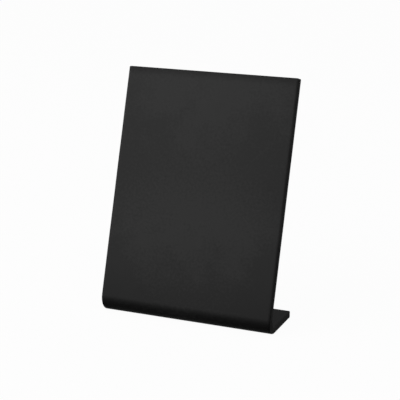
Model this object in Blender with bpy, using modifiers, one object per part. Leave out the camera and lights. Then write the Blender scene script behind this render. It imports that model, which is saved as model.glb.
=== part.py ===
"""Tabletop chalkboard: one sheet of matt black acrylic, heated along a line and folded.

Seen from the side the sheet is a level foot, a round bend and a panel that leans back over the foot.
The writing face is the panel's front. Lengths are in metres, +X runs across the board, +Y points
behind it and +Z is up. The origin is the centre of the bounding box's base, on the table.
"""
import math

import bmesh
import bpy
from mathutils import Vector

# Overall sizes of the finished board
BOARD_WIDTH = 0.075
BOARD_HEIGHT = 0.105  # along the slope, from where the outer faces would meet to the top edge
FOOT_DEPTH = 0.025  # on the table, from the front of the bend to the foot's back edge
LEAN_ANGLE = math.radians(18)  # of the panel, back from upright

# The sheet and how it is worked
SHEET_GAUGE = 0.003
BEND_INNER_RADIUS = 0.003
EDGE_BREAK = 0.0002  # the arris that is taken off each cut edge

# Fineness of the round forms
BEND_STEPS = 24
EDGE_BREAK_STEPS = 2
FOLD_FREE_ANGLE = math.radians(30)  # edges that turn less than this are part of the bend

# What follows from the sizes
BEND_OUTER_RADIUS = BEND_INNER_RADIUS + SHEET_GAUGE
BEND_ANGLE = math.pi / 2 + LEAN_ANGLE
BEND_SETBACK = BEND_OUTER_RADIUS * math.tan(BEND_ANGLE / 2)  # virtual corner to tangent line
FOOT_FLAT = FOOT_DEPTH - BEND_OUTER_RADIUS
PANEL_FLAT = BOARD_HEIGHT - BEND_SETBACK
UP_THE_PANEL = Vector((0, math.sin(LEAN_ANGLE), math.cos(LEAN_ANGLE)))
OUT_OF_THE_BACK = Vector((0, math.cos(LEAN_ANGLE), -math.sin(LEAN_ANGLE)))

SHEET_COLOUR = (0.018, 0.018, 0.018, 1)
SHEET_ROUGHNESS = 0.55


def clear_scene():
    """Removes every object, so that the model starts in an empty scene."""
    for item in list(bpy.data.objects):
        bpy.data.objects.remove(item)


def matt_black_acrylic():
    """Matt black plastic, the same on the faces and on the cut edges."""
    material = bpy.data.materials.new("matt_black_acrylic")
    material.use_nodes = True
    shader = material.node_tree.nodes["Principled BSDF"]
    shader.inputs["Base Color"].default_value = SHEET_COLOUR
    shader.inputs["Roughness"].default_value = SHEET_ROUGHNESS
    shader.inputs["Metallic"].default_value = 0
    material.diffuse_color = SHEET_COLOUR
    return material


def newest_edge(geometry):
    """The edge that an extrusion ends in, which is the one between its two new corners."""
    corners = {item for item in geometry if isinstance(item, bmesh.types.BMVert)}
    edges = (item for item in geometry if isinstance(item, bmesh.types.BMEdge))
    return next(edge for edge in edges if set(edge.verts) <= corners)


def pull_flat(bm, edge, run):
    """Carries an edge straight along run and returns the edge at the far end of the flat."""
    pulled = bmesh.ops.extrude_edge_only(bm, edges=[edge])["geom"]
    far_edge = newest_edge(pulled)
    bmesh.ops.translate(bm, verts=list(far_edge.verts), vec=run)
    return far_edge


def turn_bend(bm, edge):
    """Carries an edge round the bend's axis, which lies over the foot's front end."""
    turned = bmesh.ops.spin(
        bm,
        geom=[edge, *edge.verts],
        cent=(0, 0, BEND_OUTER_RADIUS),
        axis=(-1, 0, 0),
        angle=BEND_ANGLE,
        steps=BEND_STEPS,
    )
    return newest_edge(turned["geom_last"])


def outer_face_mesh():
    """The sheet's outer face, open: the foot's underside, the outside of the bend, the writing face."""
    bm = bmesh.new()
    side = Vector((BOARD_WIDTH / 2, 0, 0))
    foot_end = Vector((0, FOOT_FLAT, 0))
    back_edge = bm.edges.new([bm.verts.new(foot_end - side), bm.verts.new(foot_end + side)])
    front_of_foot = pull_flat(bm, back_edge, -foot_end)
    bottom_of_panel = turn_bend(bm, front_of_foot)
    pull_flat(bm, bottom_of_panel, UP_THE_PANEL * PANEL_FLAT)
    bmesh.ops.recalc_face_normals(bm, faces=bm.faces)
    lowest = min(bm.faces, key=lambda face: face.calc_center_median().z)
    if lowest.normal.z > 0:
        bmesh.ops.reverse_faces(bm, faces=bm.faces)
    mesh = bpy.data.meshes.new("chalkboard_sheet")
    bm.to_mesh(mesh)
    bm.free()
    mesh.shade_smooth()
    return mesh


def give_gauge(sheet):
    """Thickens the outer face inwards to the gauge, the same on the flats and through the bend."""
    solidify = sheet.modifiers.new("gauge", "SOLIDIFY")
    solidify.thickness = SHEET_GAUGE
    solidify.offset = -1
    solidify.use_even_offset = True
    solidify.use_quality_normals = True


def break_edges(sheet):
    """Takes the arris off every cut edge and corner, and leaves the bend's facets alone."""
    bevel = sheet.modifiers.new("edge_break", "BEVEL")
    bevel.width = EDGE_BREAK
    bevel.segments = EDGE_BREAK_STEPS
    bevel.limit_method = "ANGLE"
    bevel.angle_limit = FOLD_FREE_ANGLE
    bevel.harden_normals = True


def centre_over_base(sheet):
    """Puts the middle of the sheet's depth over the origin.

    The bend's front is the foremost line. The rearmost is the back of the panel's top edge, or the
    foot's back edge where the foot reaches further.
    """
    panel_start = Vector((0, 0, BEND_OUTER_RADIUS)) - OUT_OF_THE_BACK * BEND_OUTER_RADIUS
    top_back = panel_start + UP_THE_PANEL * PANEL_FLAT + OUT_OF_THE_BACK * SHEET_GAUGE
    rearmost = max(top_back.y, FOOT_FLAT)
    foremost = -BEND_OUTER_RADIUS
    sheet.location.y = -(foremost + rearmost) / 2


def chalkboard_sheet(collection):
    """The whole board: the folded sheet with its gauge, its bend and its broken edges."""
    sheet = bpy.data.objects.new("chalkboard_sheet", outer_face_mesh())
    collection.objects.link(sheet)
    sheet.data.materials.append(matt_black_acrylic())
    give_gauge(sheet)
    break_edges(sheet)
    centre_over_base(sheet)
    return sheet


def main():
    clear_scene()
    collection = bpy.data.collections.new("tabletop_chalkboard")
    bpy.context.scene.collection.children.link(collection)
    chalkboard_sheet(collection)


main()
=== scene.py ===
"""Tabletop chalkboard: the finished look of one matt black sheet, folded into a panel and a foot.

The file is laid out as a Blender add-on and is run as a script. Three operators make the board's
surface, give it its finish and set up the studio. Lengths are in metres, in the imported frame: +X
runs across the board, +Y points behind it, +Z is up, and the table top is at height 0.
"""

import math
from types import SimpleNamespace

import bmesh
import bpy
import numpy as np
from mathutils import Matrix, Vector


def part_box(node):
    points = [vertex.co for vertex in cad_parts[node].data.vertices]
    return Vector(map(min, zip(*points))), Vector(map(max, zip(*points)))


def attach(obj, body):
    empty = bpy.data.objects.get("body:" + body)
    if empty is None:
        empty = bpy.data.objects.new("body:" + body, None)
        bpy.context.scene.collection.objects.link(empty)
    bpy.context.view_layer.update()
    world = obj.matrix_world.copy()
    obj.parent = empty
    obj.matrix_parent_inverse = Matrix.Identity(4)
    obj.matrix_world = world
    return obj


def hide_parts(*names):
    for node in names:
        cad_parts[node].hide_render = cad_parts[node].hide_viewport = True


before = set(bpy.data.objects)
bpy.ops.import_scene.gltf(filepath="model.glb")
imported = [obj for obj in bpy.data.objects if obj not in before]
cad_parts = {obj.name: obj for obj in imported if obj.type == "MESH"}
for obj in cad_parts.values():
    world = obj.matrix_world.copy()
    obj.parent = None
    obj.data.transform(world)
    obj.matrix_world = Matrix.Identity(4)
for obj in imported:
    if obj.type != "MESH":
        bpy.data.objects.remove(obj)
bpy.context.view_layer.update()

bl_info = {
    "name": "Tabletop Chalkboard",
    "version": (1, 0, 0),
    "blender": (4, 5, 0),
    "location": "View3D > Sidebar > Chalkboard",
    "description": "Makes a small free-standing chalkboard, its matt black finish and a studio",
    "category": "Add Mesh",
}

NODE = "chalkboard_sheet"
BODY = "root"
PIECE = "folded_sheet"
MATERIAL = "matt_black_sheet"
BLANK_PLACE = "blank_place"
CUT_EDGE = "cut_edge"
ARRIS = "arris"
SHADE_AND_ROUGH_BAND = "painted_shade_and_roughness"

SHEET_LOW, SHEET_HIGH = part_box(NODE)

# Rows of points along and across the skin, and points round its edges
FOOT_ROWS = 14
BEND_ROWS = 41
PANEL_ROWS = 84
FACE_ROWS = 62
CAP_ROWS = 5
EDGE_POINTS = 6
ARRIS_POINTS = 9

# Rows that keep the flats true beside the rounded edges: how far in, as shares of the roll off, as
# a share of the rounding itself, and in metres
SIDE_SUPPORT = 1.5
END_SUPPORT = 1.6
ARRIS_SUPPORT = 0.5
FACE_MARGIN = 0.001

# Points closer than this are one point of the closed skin
WELD_DISTANCE = 1e-7

# The sheet's two slow waves: share of the wave height, length in wave lengths, then the lean across
# the board and the start, both in turns
SLOW_WAVES = (
    (0.6, 1.0, 0.0, 0.1),
    (0.4, 1.7, 2.0, 0.35),
)

# How far the outer side of the bend draws in, as a share of how far the inner side stands out
OUTER_DRAW = 0.5

# How much of the top band's painted shade and added roughness the foot and the bend have
BEND_BAND_SHARE = 0.5

# The shade of the faces, where 0 is dark and 1 is light, and how far each pattern moves it
MIDDLE_SHADE = 0.75
# Painted highlight: the next moves the shade in soft lighter and darker bands up the panel
HIGHLIGHT_BAND_SHADE = 0.34
CLOUD_SHADE = 2.2
SPECK_SHADE = 2.4
GRAIN_SHADE = 0.4
# Painted shade: the next darkens the faces towards both sides, leaving the middle paler
PAINTED_SIDE_SHADE = 0.75
# Painted shade: the next darkens the band along the top edge and, less, the strip over the bend
BAND_PAINTED_SHADE = 0.7
HIGHLIGHT_BAND_DRIFT = 0.6  # how far the clouds push the swaths, in swath widths

# How far each pattern moves the roughness
CLOUD_ROUGHNESS = 0.08
GRAIN_ROUGHNESS = 0.12
BAND_ROUGHNESS = 0.1
SAW_ROUGHNESS = 0.15

# Wear on the arrises: how many arris radii it reaches, the range over which it sets in, what the
# clouds add to, and its most
WEAR_REACH = 1.5
WEAR_RANGE = (0.45, 1.0)
WEAR_BASE = 0.4
WEAR_MOST = 0.5

# Noise textures
NOISE_DETAIL = 3.0
SAW_DETAIL = 1.0
NOISE_ROUGHNESS = 0.55
SAW_STRETCH = (1.0, 1.0, 0.12)  # pace of the saw marks' noise across, along and into the sheet

# Where the studio turns from one side to another, as ranges of the parts of a unit direction
BEHIND_RANGE = (-0.35, 0.35)
ABOVE_RANGE = (-0.25, 0.15)
RIGHT_RANGE = (-0.45, 0.55)
HIGH_RANGE = (0.3, 0.9)
DEEP_RANGE = (0.45, 0.7)
FAR_BACK_RANGE = (0.45, 0.63)
FAR_BACK_SPREAD = 0.7  # how much wider the floor behind reaches towards the sides
REAR_HORIZON = 0.06  # how far up the dark half reaches behind the board

# Lamps: azimuth and elevation in degrees, then distance from the board and side in metres
TOP_LAMP = (0, 85)
KEY_LAMP = (-40, 35)
LAMP_DISTANCE = 1.0
LAMP_SIDE = 0.9

# The floor's faint mottling: size of its blobs, and the darkest as a share of the floor's colour
FLOOR_MOTTLE = 0.05
FLOOR_DULL = 0.98

# The nearest that the camera sees
NEAREST_SEEN = 0.01

WHITE = (1.0, 1.0, 1.0, 1.0)


class ChalkboardSizes(bpy.types.PropertyGroup):
    """Sizes of the folded sheet. Its width, height and place come from the frame's own box."""

    gauge: bpy.props.FloatProperty(
        name="Gauge", description="Thickness of the sheet",
        default=0.003, min=0.001, precision=4, subtype="DISTANCE",
    )
    inner_radius: bpy.props.FloatProperty(
        name="Inner Bend Radius", description="Radius on the inside of the heated bend",
        default=0.003, min=0.0005, precision=4, subtype="DISTANCE",
    )
    lean: bpy.props.FloatProperty(
        name="Lean", description="How far the panel leans back from upright",
        default=math.radians(18), min=0.0, max=math.radians(60), subtype="ANGLE",
    )
    foot_depth: bpy.props.FloatProperty(
        name="Foot Depth", description="From the front of the bend to the foot's back edge",
        default=0.025, min=0.01, precision=4, subtype="DISTANCE",
    )
    arris_radius: bpy.props.FloatProperty(
        name="Arris Radius", description="Rounding of every cut edge, down its side",
        default=0.0004, min=0.00005, precision=5, subtype="DISTANCE",
    )
    roll_off: bpy.props.FloatProperty(
        name="Roll Off", description="How far from a cut edge the writing face starts to fall away",
        default=0.0012, min=0.00005, precision=5, subtype="DISTANCE",
    )
    corner_radius: bpy.props.FloatProperty(
        name="Corner Radius", description="Radius of the four corners, seen square to the face",
        default=0.0003, min=0.00005, precision=5, subtype="DISTANCE",
    )
    bend_swell: bpy.props.FloatProperty(
        name="Bend Swell", description="How far the plastic stands out beside the inner bend",
        default=0.0002, min=0.0, precision=5, subtype="DISTANCE",
    )
    wave_height: bpy.props.FloatProperty(
        name="Wave Height", description="Height of the slow waves that a cast sheet keeps",
        default=0.00004, min=0.0, precision=5, subtype="DISTANCE",
    )
    wave_length: bpy.props.FloatProperty(
        name="Wave Length", description="Distance between the slow waves, up the panel",
        default=0.028, min=0.005, precision=4, subtype="DISTANCE",
    )


class ChalkboardFinish(bpy.types.PropertyGroup):
    """Colours and grain of the matt black plastic."""

    face_colour: bpy.props.FloatVectorProperty(
        name="Face Colour", description="Colour of the matt faces",
        default=(0.0046, 0.0046, 0.0046), min=0.0, max=1.0, subtype="COLOR",
    )
    worn_colour: bpy.props.FloatVectorProperty(
        name="Worn Colour", description="Colour where handling has rubbed the arris",
        default=(0.02, 0.02, 0.02), min=0.0, max=1.0, subtype="COLOR",
    )
    face_roughness: bpy.props.FloatProperty(
        name="Face Roughness", description="Roughness of the matt faces",
        default=0.5, min=0.0, max=1.0, subtype="FACTOR",
    )
    edge_roughness: bpy.props.FloatProperty(
        name="Edge Roughness", description="Roughness of the sawn and polished edges",
        default=0.34, min=0.0, max=1.0, subtype="FACTOR",
    )
    grain_size: bpy.props.FloatProperty(
        name="Grain Size", description="Size of the fine grain that takes the chalk",
        default=0.00035, min=0.00005, precision=5, subtype="DISTANCE",
    )
    grain_depth: bpy.props.FloatProperty(
        name="Grain Depth", description="Depth of the fine grain",
        default=0.000008, min=0.0, precision=6, subtype="DISTANCE",
    )
    speck_size: bpy.props.FloatProperty(
        name="Speck Size", description="Size of the specks of old chalk in the matt coat",
        default=0.0011, min=0.0001, precision=5, subtype="DISTANCE",
    )
    cloud_size: bpy.props.FloatProperty(
        name="Cloud Size", description="Size of the faint clouds in the matt coat",
        default=0.014, min=0.001, precision=4, subtype="DISTANCE",
    )
    # Painted highlight: the spacing and place of soft lighter and darker bands painted up the panel
    highlight_band_spacing: bpy.props.FloatProperty(
        name="Swath Width", description="Distance between the broad soft swaths that wiping leaves",
        default=0.054, min=0.005, precision=4, subtype="DISTANCE",
    )
    highlight_band_place: bpy.props.FloatProperty(
        name="Swath Place", description="Distance of one swath's middle from the foot's back edge",
        default=0.0621, min=0.0, precision=4, subtype="DISTANCE",
    )
    # Painted shade: a band along the top edge, painted darker and made rougher
    top_shade_band: bpy.props.FloatProperty(
        name="Top Band", description="Width of the band along the top that stays clear of chalk",
        default=0.0035, min=0.0005, precision=4, subtype="DISTANCE",
    )
    # Painted shade: a strip over the bend, painted darker and made rougher
    low_shade_band: bpy.props.FloatProperty(
        name="Low Band", description="Height of the strip over the bend that is seldom written on",
        default=0.018, min=0.0005, precision=4, subtype="DISTANCE",
    )
    # Sets how strongly both the real mottling and the painted highlight and shade move the faces
    dust_and_painted_light: bpy.props.FloatProperty(
        name="Dust", description="How much specks, clouds and swaths lighten or darken the faces",
        default=0.75, min=0.0, max=1.0, subtype="FACTOR",
    )
    saw_pitch: bpy.props.FloatProperty(
        name="Saw Pitch", description="Distance between the tool marks across the cut edges",
        default=0.0004, min=0.00005, precision=5, subtype="DISTANCE",
    )
    saw_depth: bpy.props.FloatProperty(
        name="Saw Depth", description="Depth of the tool marks across the cut edges",
        default=0.000006, min=0.0, precision=6, subtype="DISTANCE",
    )
    refraction: bpy.props.FloatProperty(
        name="Index of Refraction", description="Index of refraction of the plastic",
        default=1.34, min=1.0, max=2.5,
    )


class ChalkboardStudio(bpy.types.PropertyGroup):
    """Floor, light and camera."""

    floor_colour: bpy.props.FloatVectorProperty(
        name="Floor Colour", description="Colour of the pale floor",
        default=(0.8, 0.8, 0.8), min=0.0, max=1.0, subtype="COLOR",
    )
    floor_white: bpy.props.FloatProperty(
        name="Floor White", description="Share of plain white that the camera sees in the floor",
        default=0.96, min=0.0, max=1.0, subtype="FACTOR",
    )
    floor_size: bpy.props.FloatProperty(
        name="Floor Size", description="Side of the square floor",
        default=8.0, min=1.0, subtype="DISTANCE",
    )
    table_strength: bpy.props.FloatProperty(
        name="Table Strength", description="Strength below the horizon all round the board",
        default=0.08, min=0.0,
    )
    rear_floor_strength: bpy.props.FloatProperty(
        name="Rear Floor Strength", description="Strength of the floor that the back mirrors",
        default=0.45, min=0.0,
    )
    back_strength: bpy.props.FloatProperty(
        name="Back Strength", description="Strength above the horizon behind the board",
        default=0.3, min=0.0,
    )
    left_strength: bpy.props.FloatProperty(
        name="Left Strength", description="Strength of the studio in front, on the reader's left",
        default=1.2, min=0.0,
    )
    right_strength: bpy.props.FloatProperty(
        name="Right Strength", description="Strength of the studio in front, on the reader's right",
        default=0.33, min=0.0,
    )
    ceiling_strength: bpy.props.FloatProperty(
        name="Ceiling Strength", description="Strength of the studio overhead, in front",
        default=0.5, min=0.0,
    )
    top_power: bpy.props.FloatProperty(
        name="Top Power", description="Power of the large soft lamp overhead",
        default=1.2, min=0.0, subtype="POWER",
    )
    key_power: bpy.props.FloatProperty(
        name="Key Power", description="Power of the soft lamp over the reader's left shoulder",
        default=3.5, min=0.0, subtype="POWER",
    )
    azimuth: bpy.props.FloatProperty(
        name="Azimuth", description="Turn of the camera to the board's right",
        default=math.radians(22.937), subtype="ANGLE",
    )
    elevation: bpy.props.FloatProperty(
        name="Elevation", description="Height of the camera over the horizon",
        default=math.radians(16.011), subtype="ANGLE",
    )
    distance: bpy.props.FloatProperty(
        name="Distance", description="From the camera to the point that it looks at",
        default=0.50467, min=0.05, precision=5, subtype="DISTANCE",
    )
    aim: bpy.props.FloatVectorProperty(
        name="Aim", description="Point that the camera looks at",
        default=(0.00423, -0.00896, 0.05177), precision=5, subtype="TRANSLATION",
    )
    focal_length: bpy.props.FloatProperty(
        name="Focal Length", description="Focal length on a sensor 36 mm wide, in millimetres",
        default=112.88, min=1.0, subtype="DISTANCE_CAMERA",
    )


class Signal:
    """One value in a shader tree. Arithmetic on it adds Math nodes to the tree."""

    def __init__(self, shader, socket):
        self.shader = shader
        self.socket = socket

    def math(self, operation, *values):
        """A Math node on these values, such as 'MAXIMUM' of this signal and 0."""
        return self.shader.add("ShaderNodeMath", {"operation": operation}, values)["Value"]

    def __add__(self, other):
        return self.math("ADD", self, other)

    def __radd__(self, other):
        return self.math("ADD", other, self)

    def __sub__(self, other):
        return self.math("SUBTRACT", self, other)

    def __rsub__(self, other):
        return self.math("SUBTRACT", other, self)

    def __mul__(self, other):
        return self.math("MULTIPLY", self, other)

    def __rmul__(self, other):
        return self.math("MULTIPLY", other, self)

    def __truediv__(self, other):
        return self.math("DIVIDE", self, other)

    def __rtruediv__(self, other):
        return self.math("DIVIDE", other, self)

    def clipped(self):
        """The signal held between 0 and 1."""
        return self.math("MINIMUM", self.math("MAXIMUM", self, 0.0), 1.0)


class ShaderTree:
    """An emptied node tree of a material or world, which nodes are added to by one method."""

    def __init__(self, owner):
        owner.use_nodes = True
        self.tree = owner.node_tree
        self.tree.nodes.clear()

    def add(self, kind, settings=None, sockets=()):
        """Adds a node of this type, sets its settings, then gives its sockets values or links.

        settings names the node's own properties. sockets is a dict by socket name, or a sequence
        for the first sockets in order. Returns a lookup from the output's name to its Signal.
        """
        node = self.tree.nodes.new(kind)
        for name, value in (settings or {}).items():
            setattr(node, name, value)
        named = sockets.items() if isinstance(sockets, dict) else enumerate(sockets)
        for name, value in named:
            if isinstance(value, Signal):
                self.tree.links.new(value.socket, node.inputs[name])
            else:
                node.inputs[name].default_value = value
        return {socket.name: Signal(self, socket) for socket in node.outputs if socket.enabled}

    def between(self, factor, low, high):
        """The colour low where the factor is 0, high where it is 1, and their mix between.

        The node repeats its names for each kind of data, so its sockets are given by number: 0 is
        the factor, 6 and 7 are the two colours.
        """
        mixed = self.add(
            "ShaderNodeMix",
            {"data_type": "RGBA", "clamp_factor": True},
            {0: factor, 6: low, 7: high},
        )
        return mixed["Result"]

    def noise(self, place, size, detail=NOISE_DETAIL):
        """Noise of about 0 to 1 with blobs of this size, read at this place."""
        made = self.add(
            "ShaderNodeTexNoise",
            {"noise_dimensions": "3D"},
            {"Vector": place, "Scale": 1.0 / size, "Detail": detail, "Roughness": NOISE_ROUGHNESS},
        )
        return made["Fac"]

    def smooth_step(self, value, start, end):
        """0 before start, 1 after end and a smooth turn between them."""
        made = self.add(
            "ShaderNodeMapRange",
            {"interpolation_type": "SMOOTHSTEP"},
            {"Value": value, "From Min": start, "From Max": end},
        )
        return made["Result"]


def opaque(colour):
    """The colour with full alpha."""
    return (*colour, 1.0)


def fold_of(sizes):
    """The fold that follows from the sizes and the frame's box.

    The sheet is measured along its neutral line, which runs half a gauge inside the outer face. Its
    highest line is the top edge of the outer face, which the rounding lowers by arris_drop. The
    panel's flat is what the box's height leaves for it over the bend.
    """
    outer_radius = sizes.inner_radius + sizes.gauge
    angle = math.pi / 2 + sizes.lean
    height = SHEET_HIGH.z - SHEET_LOW.z
    arris_along = sizes.roll_off * math.cos(sizes.lean)
    arris_through = sizes.arris_radius * math.sin(sizes.lean)
    arris_drop = arris_along + arris_through - math.hypot(arris_along, arris_through)
    bend_top = outer_radius * (1 + math.sin(sizes.lean))
    panel_flat = (height + arris_drop - bend_top) / math.cos(sizes.lean)
    foot_flat = sizes.foot_depth - outer_radius
    neutral_radius = sizes.inner_radius + sizes.gauge / 2
    return SimpleNamespace(
        gauge=sizes.gauge,
        outer_radius=outer_radius,
        neutral_radius=neutral_radius,
        angle=angle,
        foot_flat=foot_flat,
        panel_start=foot_flat + neutral_radius * angle,
        length=foot_flat + neutral_radius * angle + panel_flat,
        half_width=(SHEET_HIGH.x - SHEET_LOW.x) / 2,
        centre_y=SHEET_LOW.y + outer_radius,
        arris=sizes.arris_radius,
        roll_off=sizes.roll_off,
        corner=sizes.corner_radius,
    )


def smooth_rise(value, start, end):
    """0 before start, 1 after end, and a cubic with level ends between them."""
    share = np.clip((value - start) / (end - start), 0.0, 1.0)
    return share * share * (3.0 - 2.0 * share)


def folded(across, along, depth, fold):
    """Carries points of the flat blank onto the folded sheet.

    along is the length on the neutral line from the foot's back edge, and depth is how far the
    point lies inside the outer face. The turn at a point is its length past the foot's flat over
    the neutral radius, held between 0 and the whole bend. The point is the bend's centre, plus the
    outer radius less the depth along the outward normal, plus the length that lies outside the bend
    along the tangent.
    """
    turn = np.clip((along - fold.foot_flat) / fold.neutral_radius, 0.0, fold.angle)
    before_bend = np.minimum(along - fold.foot_flat, 0.0)
    after_bend = np.maximum(along - fold.panel_start, 0.0)
    straight = before_bend + after_bend
    radius = fold.outer_radius - depth
    y = fold.centre_y - radius * np.sin(turn) - straight * np.cos(turn)
    z = fold.outer_radius - radius * np.cos(turn) + straight * np.sin(turn)
    return np.stack([across, y, z], axis=-1)


def stations_along(fold):
    """Lengths that have a row of points: even on the two flats, and closer in the bend."""
    clear = fold.gauge / 2 + END_SUPPORT * fold.roll_off
    foot = np.linspace(clear, fold.foot_flat, FOOT_ROWS)
    bend = np.linspace(fold.foot_flat, fold.panel_start, BEND_ROWS)
    panel = np.linspace(fold.panel_start, fold.length - clear, PANEL_ROWS)
    return np.concatenate([foot, bend[1:], panel[1:]])


def loop_round_section(inset, fold):
    """The closed outline of the blank's long section, drawn in by inset, as (along, depth).

    The outline runs up the outer face, round the top edge, down the inner face and round the foot's
    end. Its corners are quarter circles of the arris, or at the top of the writing face a quarter
    ellipse that is as long as the roll off. They shrink by the same share as the inset takes of the
    arris. The ends draw in by the corner radius on the way to a whole arris, and after it by the
    rest of the inset. The rows of the result are insets, and its columns are points round the
    outline.
    """
    inset = inset[:, None]
    left_over = 1.0 - np.minimum(inset / fold.arris, 1.0)
    rise = fold.arris * left_over
    roll = fold.roll_off * left_over
    end = fold.corner * (1.0 - left_over) + np.maximum(inset - fold.arris, 0.0)
    near, far, far_front = end + rise, fold.length - end - rise, fold.length - end - roll
    shallow = np.maximum(inset, fold.arris)
    deep = fold.gauge - shallow
    quarter = np.linspace(0.0, np.pi / 2, ARRIS_POINTS)[None, :]
    sine, cosine = np.sin(quarter), np.cos(quarter)
    middle = np.broadcast_to(stations_along(fold), (len(inset), len(stations_along(fold))))
    support = ARRIS_SUPPORT * fold.arris
    front_support = support + ARRIS_SUPPORT * (fold.roll_off - fold.arris) * left_over
    front = np.concatenate([near + support, middle, far_front - front_support], axis=1)
    back = np.concatenate([near + support, middle, far - support], axis=1)
    edge = shallow + (deep - shallow) * np.linspace(0.0, 1.0, EDGE_POINTS + 2)[None, 1:-1]
    along = [
        front,
        far_front + roll * sine,
        np.broadcast_to(fold.length - end, edge.shape),
        far + rise * cosine,
        back[:, ::-1],
        near - rise * sine,
        np.broadcast_to(end, edge.shape),
        near - rise * cosine,
    ]
    depth = [
        np.broadcast_to(inset, front.shape),
        shallow - rise * cosine,
        edge,
        deep + rise * sine,
        np.broadcast_to(fold.gauge - inset, back.shape),
        deep + rise * cosine,
        edge[:, ::-1],
        shallow - rise * sine,
    ]
    return np.concatenate(along, axis=1), np.concatenate(depth, axis=1)


def rows_across(fold):
    """The rows across the board, as four numbers each.

    They are its share of the half width, how far back from there it lies in metres and in roll
    offs, and its inset. From the middle line of the left cut edge the inset shrinks to the arris,
    follows a quarter ellipse to nothing over the roll off, stays nothing across the board, and
    grows again on the right.
    """
    cap = np.linspace(fold.gauge / 2, fold.arris, CAP_ROWS + 1)[:-1]
    turn = np.linspace(np.pi / 2, 0.0, ARRIS_POINTS)
    rolls_back = np.concatenate([np.zeros(cap.shape), 1.0 - np.sin(turn), [SIDE_SUPPORT]])
    edge_inset = np.concatenate([cap, fold.arris * (1.0 - np.cos(turn)), [0.0]])
    inner = np.linspace(-1.0, 1.0, FACE_ROWS)
    ones, level = np.ones(rolls_back.shape), np.zeros(inner.shape)
    share = np.concatenate([-ones, inner, ones])
    back = np.concatenate([0.0 * ones, level + FACE_MARGIN, 0.0 * ones])
    rolls = np.concatenate([rolls_back, level + SIDE_SUPPORT, rolls_back[::-1]])
    inset = np.concatenate([edge_inset, level, edge_inset[::-1]])
    return share, back, rolls, inset


def roll_off_at(along, depth, fold):
    """How far from the side edges the face starts to fall away.

    It is the roll off on the writing face and the arris elsewhere, with a smooth rise through the
    bend and a smooth fall through the gauge.
    """
    writing = smooth_rise(along, fold.foot_flat, fold.panel_start)
    writing = writing * (1.0 - smooth_rise(depth, fold.arris, fold.gauge - fold.arris))
    return fold.arris + (fold.roll_off - fold.arris) * writing


def slow_waves(across, along, fold, sizes):
    """How far the sheet stands out of its true plane.

    Two cosines up the panel are added, the second longer and turned a little with the distance
    across. They fade in above the bend, so that the foot stays flat on the table.
    """
    up = along - fold.panel_start
    height = np.zeros(np.shape(along))
    for share, length, lean, start in SLOW_WAVES:
        turns = up / (length * sizes.wave_length) + lean * across / fold.length + start
        height = height + share * np.cos(2 * np.pi * turns)
    return sizes.wave_height * height * smooth_rise(up, 0.0, sizes.wave_length / 2)


def swell_at_bend(across, along, depth, fold, sizes):
    """How far the sides of the bend are pushed out or drawn in by the fold.

    The inner side of the gauge is squeezed and stands out, and the outer side is stretched and
    draws in. The shift is a raised cosine along the bend, which ends one gauge beyond it, and dies
    away over one gauge from the side.
    """
    half_bend = fold.neutral_radius * fold.angle / 2
    from_middle = (along - fold.foot_flat - half_bend) / (half_bend + fold.gauge)
    window = 0.5 + 0.5 * np.cos(np.pi * np.clip(from_middle, -1.0, 1.0))
    squeeze = (1.0 + OUTER_DRAW) * depth / fold.gauge - OUTER_DRAW
    near_side = smooth_rise(np.abs(across), fold.half_width - fold.gauge, fold.half_width)
    return np.sign(across) * sizes.bend_swell * window * squeeze * near_side


def sheet_surface(fold, sizes):
    """Points of the whole closed skin, in rows across the board and columns round the section.

    Also returns each point's place in the flat blank, which the finish follows round the bend.
    """
    share, back, rolls, inset = rows_across(fold)
    along, depth = loop_round_section(inset, fold)
    reach = fold.half_width - back[:, None] - rolls[:, None] * roll_off_at(along, depth, fold)
    across = share[:, None] * reach
    blank = np.stack([across, along, depth], axis=-1)
    shifted = across + swell_at_bend(across, along, depth, fold, sizes)
    raised = depth - slow_waves(across, along, fold, sizes)
    return folded(shifted, along, raised, fold), blank


def grid_faces(rows, columns):
    """Corner numbers of a grid's quads, open across its rows and closed round its columns."""
    row = np.arange(rows - 1)[:, None]
    column = np.arange(columns)[None, :]
    after = (column + 1) % columns
    corners = [row * columns + column, row * columns + after,
               (row + 1) * columns + after, (row + 1) * columns + column]
    return np.stack(np.broadcast_arrays(*corners), axis=-1).reshape(-1, 4)


def new_mesh(name, points, faces):
    """A mesh of these points and quads, with both put in as whole arrays."""
    mesh = bpy.data.meshes.new(name)
    mesh.vertices.add(len(points))
    mesh.vertices.foreach_set("co", points.astype(np.float32).ravel())
    mesh.loops.add(faces.size)
    mesh.loops.foreach_set("vertex_index", faces.astype(np.int32).ravel())
    mesh.polygons.add(len(faces))
    starts = np.arange(0, faces.size, faces.shape[1], dtype=np.int32)
    mesh.polygons.foreach_set("loop_start", starts)
    mesh.update(calc_edges=True)
    return mesh


def close_seams(mesh):
    """Welds the two lines where the skin meets itself in the cut edges, and turns it outwards."""
    bm = bmesh.new()
    bm.from_mesh(mesh)
    bmesh.ops.remove_doubles(bm, verts=bm.verts, dist=WELD_DISTANCE)
    if bm.calc_volume(signed=True) < 0:
        bmesh.ops.reverse_faces(bm, faces=bm.faces)
    open_edges = sum(1 for edge in bm.edges if not edge.is_manifold)
    bm.to_mesh(mesh)
    bm.free()
    if open_edges:
        raise RuntimeError(f"{mesh.name} has {open_edges} open edges")


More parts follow.
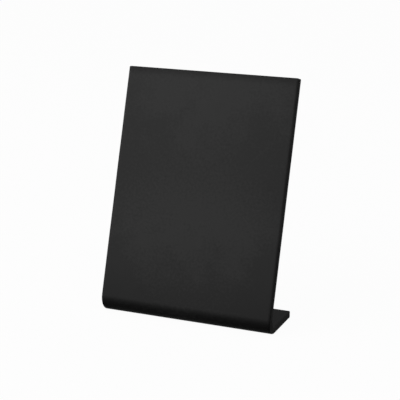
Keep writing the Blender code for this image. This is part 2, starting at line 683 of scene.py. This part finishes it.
def mark_places(mesh, blank, fold, finish):
    """Writes each point's place in the blank, how far it is on a cut edge or arris, and its shade
    band.

    A point is on a cut edge by how far it lies below the nearer face against the arris radius, and
    near an arris where its two smallest distances from the blank's faces are both small. The band
    of painted shade and added roughness is full at the top edge and partly full from the bend down,
    and fades with distance over the width of the two bands.
    """
    across, along, depth = blank[..., 0], blank[..., 1], blank[..., 2]
    from_face = np.minimum(depth, fold.gauge - depth)
    from_side = fold.half_width - np.abs(across)
    from_end = np.minimum(along, fold.length - along)
    from_cut = np.minimum(from_side, from_end)
    on_cut = smooth_rise(from_face - from_cut, -fold.arris / 2, fold.arris / 2)
    worn_to = WEAR_REACH * fold.arris
    near_arris = 1.0 - smooth_rise(np.maximum(from_face, from_cut), 0.0, worn_to)
    at_top = 1.0 - smooth_rise(fold.length - along, 0.0, finish.top_shade_band)
    at_bend = BEND_BAND_SHARE * (1.0 - smooth_rise(along - fold.panel_start, 0.0, finish.low_shade_band))
    # The band of painted shade, which the material also makes rougher
    clear = np.maximum(at_top, at_bend)
    vector = mesh.attributes.new(BLANK_PLACE, "FLOAT_VECTOR", "POINT")
    vector.data.foreach_set("vector", blank.astype(np.float32).ravel())
    for name, values in ((CUT_EDGE, on_cut), (ARRIS, near_arris), (SHADE_AND_ROUGH_BAND, clear)):
        layer = mesh.attributes.new(name, "FLOAT", "POINT")
        layer.data.foreach_set("value", values.astype(np.float32).ravel())


class CHALKBOARD_OT_folded_sheet(bpy.types.Operator):
    """Makes the folded sheet's closed skin, with rounded arrises, slow waves and a true bend"""

    bl_idname = "chalkboard.folded_sheet"
    bl_label = "Folded Sheet"
    bl_options = {"REGISTER", "UNDO"}

    def execute(self, context):
        sizes = context.scene.chalkboard_sizes
        fold = fold_of(sizes)
        points, blank = sheet_surface(fold, sizes)
        rows, columns = points.shape[:2]
        mesh = new_mesh(PIECE, points.reshape(-1, 3), grid_faces(rows, columns))
        mark_places(mesh, blank, fold, context.scene.chalkboard_finish)
        close_seams(mesh)
        mesh.shade_smooth()
        sheet = bpy.data.objects.new(PIECE, mesh)
        context.scene.collection.objects.link(sheet)
        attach(sheet, BODY)
        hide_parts(NODE)
        return {"FINISHED"}


def matt_black_sheet(finish):
    """The plastic's material: matt grained faces, smoother cut edges, slightly rubbed arrises.

    Its colour also holds painted highlight bands up the panel, and painted shade towards the sides,
    along the top edge and over the bend.
    """
    material = bpy.data.materials.new(MATERIAL)
    shader = ShaderTree(material)
    place = shader.add("ShaderNodeAttribute", {"attribute_name": BLANK_PLACE})["Vector"]
    cut = shader.add("ShaderNodeAttribute", {"attribute_name": CUT_EDGE})["Fac"]
    arris = shader.add("ShaderNodeAttribute", {"attribute_name": ARRIS})["Fac"]
    # The band of painted shade and added roughness along the top edge and over the bend
    clear = shader.add("ShaderNodeAttribute", {"attribute_name": SHADE_AND_ROUGH_BAND})["Fac"]
    cloud = shader.noise(place, finish.cloud_size)
    speck = shader.noise(place, finish.speck_size)
    grain = shader.noise(place, finish.grain_size)
    marks = saw_marks(shader, place, finish)
    face = 1.0 - cut

    parts = shader.add("ShaderNodeSeparateXYZ", None, [place])
    # Painted highlight: soft lighter and darker bands up the panel, placed where the highlights
    # fall
    turns = (parts["Y"] - finish.highlight_band_place) / finish.highlight_band_spacing + (cloud - 0.5) * HIGHLIGHT_BAND_DRIFT
    highlight_band = turns.math("COSINE", turns * (2 * math.pi))
    # Painted shade towards both sides of the faces, with the paler middle as a painted highlight
    aside = parts["X"] / ((SHEET_HIGH.x - SHEET_LOW.x) / 2)
    mottling = (
        (cloud - 0.5) * CLOUD_SHADE + (speck - 0.5) * SPECK_SHADE + (grain - 0.5) * GRAIN_SHADE
    )
    # Painted light: highlight bands up the panel, shade towards the sides, shade at the top and
    # bend
    painted_light = highlight_band * HIGHLIGHT_BAND_SHADE - aside * aside * PAINTED_SIDE_SHADE * face - clear * BAND_PAINTED_SHADE
    shade = MIDDLE_SHADE + painted_light + mottling
    dark = tuple((1.0 - finish.dust_and_painted_light) * part for part in finish.face_colour)
    light = tuple((1.0 + finish.dust_and_painted_light) * part for part in finish.face_colour)
    body = shader.between(shade, opaque(dark), opaque(light))
    rubbed = shader.smooth_step(arris * (WEAR_BASE + cloud), *WEAR_RANGE) * WEAR_MOST
    colour = shader.between(rubbed, body, opaque(finish.worn_colour))

    unevenness = (cloud - 0.5) * CLOUD_ROUGHNESS + (grain - 0.5) * GRAIN_ROUGHNESS
    face_roughness = finish.face_roughness + unevenness + clear * BAND_ROUGHNESS
    edge_roughness = finish.edge_roughness + (marks - 0.5) * SAW_ROUGHNESS
    roughness = (face_roughness * face + edge_roughness * cut).clipped()

    relief = (grain - 0.5) * finish.grain_depth * face + (marks - 0.5) * finish.saw_depth * cut
    bumped = shader.add(
        "ShaderNodeBump", None, {"Strength": 1.0, "Distance": 1.0, "Height": relief}
    )["Normal"]

    plastic = shader.add(
        "ShaderNodeBsdfPrincipled",
        None,
        {
            "Base Color": colour,
            "Roughness": roughness,
            "IOR": finish.refraction,
            "Normal": bumped,
        },
    )["BSDF"]
    shader.add("ShaderNodeOutputMaterial", None, {"Surface": plastic})
    return material


def saw_marks(shader, place, finish):
    """Streaks across the gauge of a cut edge, drawn long by slowing the noise along the depth."""
    stretched = shader.add(
        "ShaderNodeVectorMath",
        {"operation": "MULTIPLY"},
        [place, SAW_STRETCH],
    )["Vector"]
    return shader.noise(stretched, finish.saw_pitch, SAW_DETAIL)


class CHALKBOARD_OT_matt_finish(bpy.types.Operator):
    """Gives the folded sheet its matt black plastic"""

    bl_idname = "chalkboard.matt_finish"
    bl_label = "Matt Finish"
    bl_options = {"REGISTER", "UNDO"}

    def execute(self, context):
        sheet = bpy.data.objects.get(PIECE)
        if sheet is None:
            raise RuntimeError("make the folded sheet before its finish")
        sheet.data.materials.clear()
        sheet.data.materials.append(matt_black_sheet(context.scene.chalkboard_finish))
        return {"FINISHED"}


def seen_white(shader):
    """1 where the camera looks, straight or through glass, and 0 for all other rays."""
    path = shader.add("ShaderNodeLightPath")
    return (path["Is Camera Ray"] + path["Is Transmission Ray"]).clipped()


def pale_floor(studio):
    """A large flat floor at the table's height, nearly white to the camera, with the shadow.

    The board does not reflect it, and shows the studio below the horizon in its place. The board
    holds no metal or glass, and its cut edges and bend are nearly black in the photograph, where a
    white floor in their reflection would turn them pale.
    """
    half = studio.floor_size / 2
    corners = half * np.array([(-1, -1, 0), (1, -1, 0), (1, 1, 0), (-1, 1, 0)])
    mesh = new_mesh("floor", corners, np.array([[0, 1, 2, 3]]))
    floor = bpy.data.objects.new("floor", mesh)
    bpy.context.scene.collection.objects.link(floor)
    floor.visible_glossy = False
    material = bpy.data.materials.new("pale_floor")
    shader = ShaderTree(material)
    seen = seen_white(shader) * studio.floor_white
    place = shader.add("ShaderNodeTexCoord")["Object"]
    mottle = shader.noise(place, FLOOR_MOTTLE)
    dull = tuple(FLOOR_DULL * part for part in studio.floor_colour)
    colour = shader.between(mottle, opaque(dull), opaque(studio.floor_colour))
    lit = shader.add("ShaderNodeBsdfDiffuse", None, {"Color": colour})["BSDF"]
    white = shader.add("ShaderNodeEmission", None, {"Color": WHITE, "Strength": 1.0})
    mixed = shader.add("ShaderNodeMixShader", None, [seen, lit, white["Emission"]])["Shader"]
    shader.add("ShaderNodeOutputMaterial", None, {"Surface": mixed})
    mesh.materials.append(material)


def studio_sky(studio):
    """A world that is white to the camera and a soft studio to the board.

    Above the horizon the studio is bright on the reader's left, dimmer on the right and overhead,
    and dim behind the board. Below the horizon it is dark, and shows a pale floor only steeply down
    behind the board, where the back of the panel mirrors it.
    """
    world = bpy.data.worlds.new("studio")
    bpy.context.scene.world = world
    shader = ShaderTree(world)
    seen = seen_white(shader)
    direction = shader.add("ShaderNodeTexCoord")["Generated"]
    parts = shader.add("ShaderNodeSeparateXYZ", None, [direction])
    behind = shader.smooth_step(parts["Y"], *BEHIND_RANGE)
    above = shader.smooth_step(parts["Z"] - behind * REAR_HORIZON, *ABOVE_RANGE)
    right = shader.smooth_step(parts["X"], *RIGHT_RANGE)
    high = shader.smooth_step(parts["Z"], *HIGH_RANGE)
    deep = shader.smooth_step(0.0 - parts["Z"], *DEEP_RANGE)
    far_back = parts["Y"] + parts["X"] * parts["X"] * FAR_BACK_SPREAD
    floor_behind = shader.smooth_step(far_back, *FAR_BACK_RANGE) * deep
    wall = studio.left_strength + right * (studio.right_strength - studio.left_strength)
    front = wall + high * (studio.ceiling_strength - wall)
    upper = front + behind * (studio.back_strength - front)
    table = studio.table_strength
    lower = table + floor_behind * (studio.rear_floor_strength - table)
    around = lower + above * (upper - lower)
    strength = seen + (1.0 - seen) * around
    white = shader.add("ShaderNodeBackground", None, {"Color": WHITE, "Strength": strength})
    shader.add("ShaderNodeOutputWorld", None, {"Surface": white["Background"]})


def towards(azimuth, elevation):
    """The unit vector from the board to a viewer at these angles. Azimuth 0 is the front."""
    level = math.cos(elevation)
    return Vector((math.sin(azimuth) * level, -math.cos(azimuth) * level, math.sin(elevation)))


def soft_lamp(name, azimuth, elevation, power):
    """A square area lamp that faces the middle of the board. The angles are in degrees."""
    lamp = bpy.data.lights.new(name, "AREA")
    lamp.shape = "SQUARE"
    lamp.size = LAMP_SIDE
    lamp.energy = power
    holder = bpy.data.objects.new(name, lamp)
    bpy.context.scene.collection.objects.link(holder)
    outwards = towards(math.radians(azimuth), math.radians(elevation))
    holder.location = (SHEET_LOW + SHEET_HIGH) / 2 + outwards * LAMP_DISTANCE
    holder.rotation_euler = outwards.to_track_quat("Z", "Y").to_euler()


def photo_camera(studio):
    """The camera at the photograph's viewing angle."""
    data = bpy.data.cameras.new("camera")
    data.lens = studio.focal_length
    data.clip_start = NEAREST_SEEN
    data.clip_end = 2 * studio.floor_size
    camera = bpy.data.objects.new("camera", data)
    bpy.context.scene.collection.objects.link(camera)
    outwards = towards(studio.azimuth, studio.elevation)
    camera.location = Vector(studio.aim) + outwards * studio.distance
    camera.rotation_euler = outwards.to_track_quat("Z", "Y").to_euler()
    bpy.context.scene.camera = camera


class CHALKBOARD_OT_studio(bpy.types.Operator):
    """Sets up the pale floor, the soft light and the camera"""

    bl_idname = "chalkboard.studio"
    bl_label = "Studio"
    bl_options = {"REGISTER", "UNDO"}

    def execute(self, context):
        studio = context.scene.chalkboard_studio
        context.scene.view_settings.view_transform = "Standard"
        pale_floor(studio)
        studio_sky(studio)
        soft_lamp("top_lamp", *TOP_LAMP, studio.top_power)
        soft_lamp("key_lamp", *KEY_LAMP, studio.key_power)
        photo_camera(studio)
        return {"FINISHED"}


class CHALKBOARD_PT_panel(bpy.types.Panel):
    """Lists the board's operators and their settings"""

    bl_label = "Tabletop Chalkboard"
    bl_idname = "CHALKBOARD_PT_panel"
    bl_space_type = "VIEW_3D"
    bl_region_type = "UI"
    bl_category = "Chalkboard"

    def draw(self, context):
        groups = (
            (CHALKBOARD_OT_folded_sheet, context.scene.chalkboard_sizes),
            (CHALKBOARD_OT_matt_finish, context.scene.chalkboard_finish),
            (CHALKBOARD_OT_studio, context.scene.chalkboard_studio),
        )
        for operator, settings in groups:
            box = self.layout.box()
            for name in settings.bl_rna.properties.keys():
                if name not in {"rna_type", "name"}:
                    box.prop(settings, name)
            box.operator(operator.bl_idname)


CLASSES = (
    ChalkboardSizes,
    ChalkboardFinish,
    ChalkboardStudio,
    CHALKBOARD_OT_folded_sheet,
    CHALKBOARD_OT_matt_finish,
    CHALKBOARD_OT_studio,
    CHALKBOARD_PT_panel,
)


def register():
    """Adds the classes, and gives the scene the three groups of settings."""
    for item in CLASSES:
        bpy.utils.register_class(item)
    bpy.types.Scene.chalkboard_sizes = bpy.props.PointerProperty(type=ChalkboardSizes)
    bpy.types.Scene.chalkboard_finish = bpy.props.PointerProperty(type=ChalkboardFinish)
    bpy.types.Scene.chalkboard_studio = bpy.props.PointerProperty(type=ChalkboardStudio)


def unregister():
    """Takes away what register adds, in the reverse order."""
    del bpy.types.Scene.chalkboard_studio
    del bpy.types.Scene.chalkboard_finish
    del bpy.types.Scene.chalkboard_sizes
    for item in reversed(CLASSES):
        bpy.utils.unregister_class(item)


def main():
    """Registers the classes, makes the board, its finish and the studio."""
    register()
    bpy.ops.chalkboard.folded_sheet()
    bpy.ops.chalkboard.matt_finish()
    bpy.ops.chalkboard.studio()


if __name__ == "__main__":
    main()
